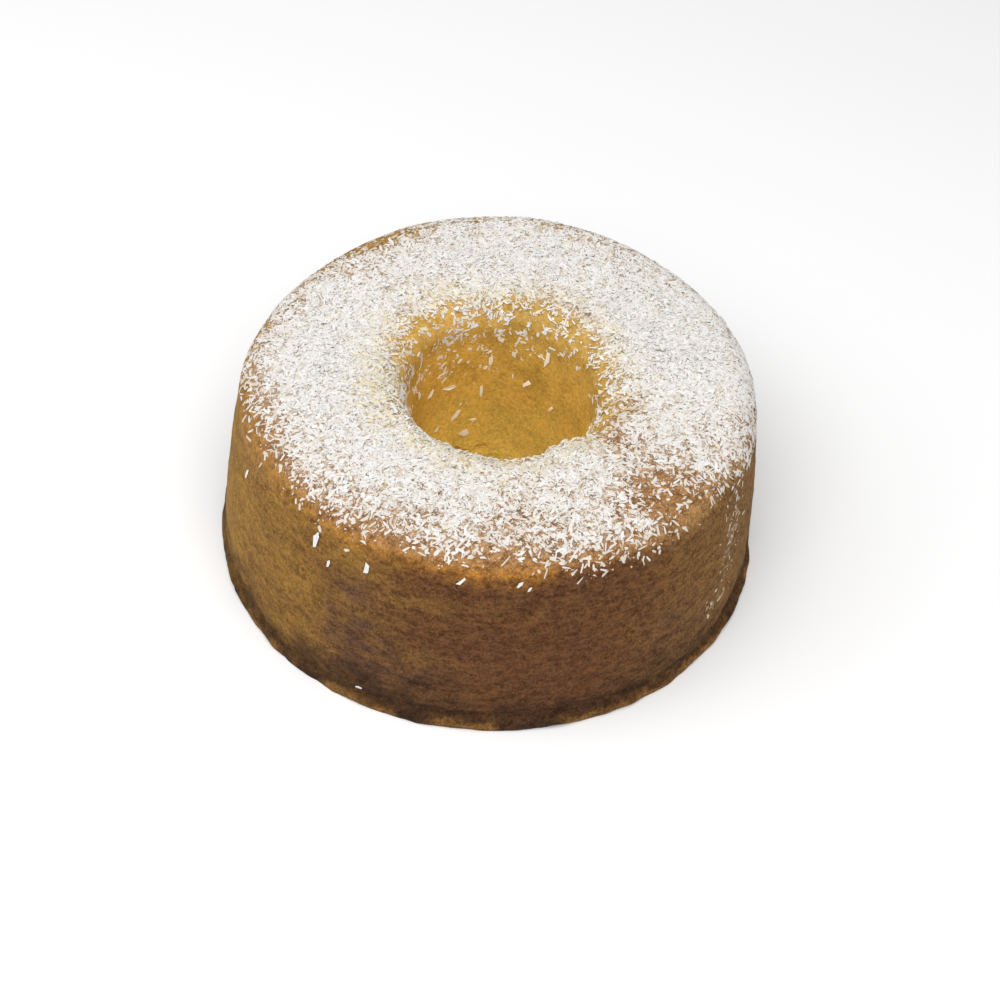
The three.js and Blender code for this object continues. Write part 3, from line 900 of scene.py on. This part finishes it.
# %% Floor and light
FLOOR_SIZE = 6.0
FLOOR_DROP = 0.0002
LAMP_AIM = Vector((0, 0, 0.04))
SKY_STRENGTH = 0.435
floor_corners = np.array([(x, y, 0) for x, y in ((-1, -1), (1, -1), (1, 1), (-1, 1))]) * FLOOR_SIZE / 2 / MM
floor = quick_mesh("floor", floor_corners - (0, 0, FLOOR_DROP / MM), np.array([[0, 1, 2, 3]]))
floor_finish = new_finish("pale_floor", Base_Color=(0.92, 0.92, 0.92, 1), Roughness=0.9)[0]
floor.data.materials.append(floor_finish)


def soft_lamp(name, place, size, power):
    """A square lamp of that size in metres that shines at the cake."""
    lamp = bpy.data.lights.new(name, "AREA")
    lamp.size, lamp.energy = size, power
    holder = bpy.data.objects.new(name, lamp)
    holder.location = place
    holder.rotation_euler = (LAMP_AIM - Vector(place)).to_track_quat("-Z", "Y").to_euler()
    bpy.context.scene.collection.objects.link(holder)


soft_lamp("overhead", (0.0, -0.5, 1.2), 1.4, 15.6)
soft_lamp("from_left", (-1.0, -0.1, 0.9), 0.9, 4.6)
sky = bpy.data.worlds.new("white_sky")
sky.use_nodes = True
sky.node_tree.nodes["Background"].inputs["Color"].default_value = (1, 1, 1, 1)
sky.node_tree.nodes["Background"].inputs["Strength"].default_value = SKY_STRENGTH
bpy.context.scene.world = sky
bpy.context.scene.view_settings.view_transform = "Standard"
print("lamps:", [lamp.name for lamp in bpy.data.lights])

# %% Camera
ELEVATION, ROLL_ANGLE = math.radians(47), math.radians(4.07)
DISTANCE = 0.9
FOCAL_PIXELS, PICTURE_PIXELS = 2133, 1000
AIM = Vector((0.0047, 0.0113, 0))
backward = Vector((0, -math.cos(ELEVATION), math.sin(ELEVATION)))
turned = Matrix((Vector((1, 0, 0)), backward.cross(Vector((1, 0, 0))), backward)).transposed()
camera = bpy.data.objects.new("camera", bpy.data.cameras.new("camera"))
camera.data.lens = camera.data.sensor_width * FOCAL_PIXELS / PICTURE_PIXELS
camera.matrix_world = (
    Matrix.Translation(AIM + DISTANCE * backward) @ turned.to_4x4() @ Matrix.Rotation(ROLL_ANGLE, 4, "Z")
)
bpy.context.scene.collection.objects.link(camera)
bpy.context.scene.camera = camera
print("lens", round(camera.data.lens, 1), "mm at", [round(value, 3) for value in camera.location])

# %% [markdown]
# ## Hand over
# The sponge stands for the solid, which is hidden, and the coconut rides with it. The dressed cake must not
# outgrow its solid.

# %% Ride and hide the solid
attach(sponge, "root")
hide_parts("coconut_cake")
for piece in coconut:
    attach(piece, "root")
